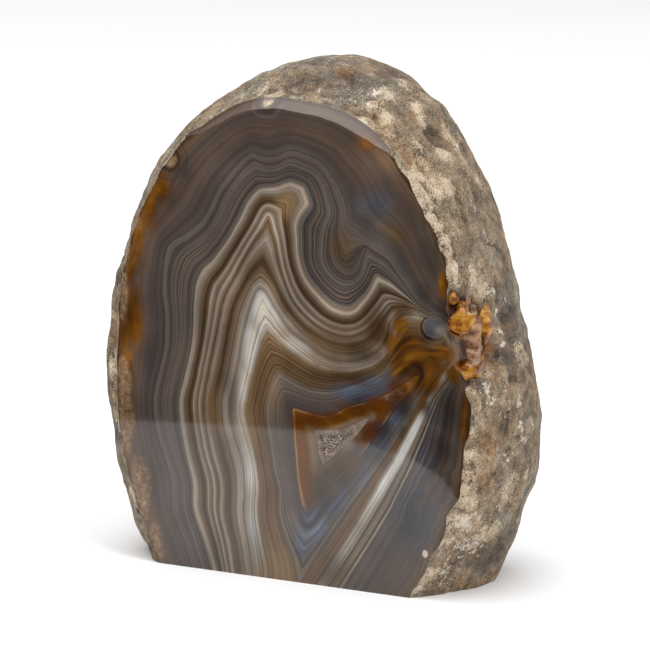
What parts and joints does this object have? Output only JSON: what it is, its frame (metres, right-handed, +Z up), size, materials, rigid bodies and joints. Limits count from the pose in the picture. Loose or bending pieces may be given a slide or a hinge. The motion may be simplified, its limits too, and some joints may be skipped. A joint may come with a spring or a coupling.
{
  "type": "polished agate geode",
  "caption": "Free-standing agate nodule in a rough rind, sawn and polished flat at the front, with a small pocket of quartz crystals.",
  "frame": {"origin": "middle of the footprint of the stone's box, on its sawn base", "axes": "+Z up from the sawn base, -Y out of the polished face, +X to the right of someone who looks at the face"},
  "size_m": [0.1133, 0.057, 0.1271],
  "materials": {
    "agate": "mirror polish on the face and bevel, rough weathered rind elsewhere",
    "quartz": "clear natural crystal faces"
  },
  "bodies": {
    "root": {"agate_stone": "agate", "druse_crystals": "quartz"}
  },
  "joints": []
}
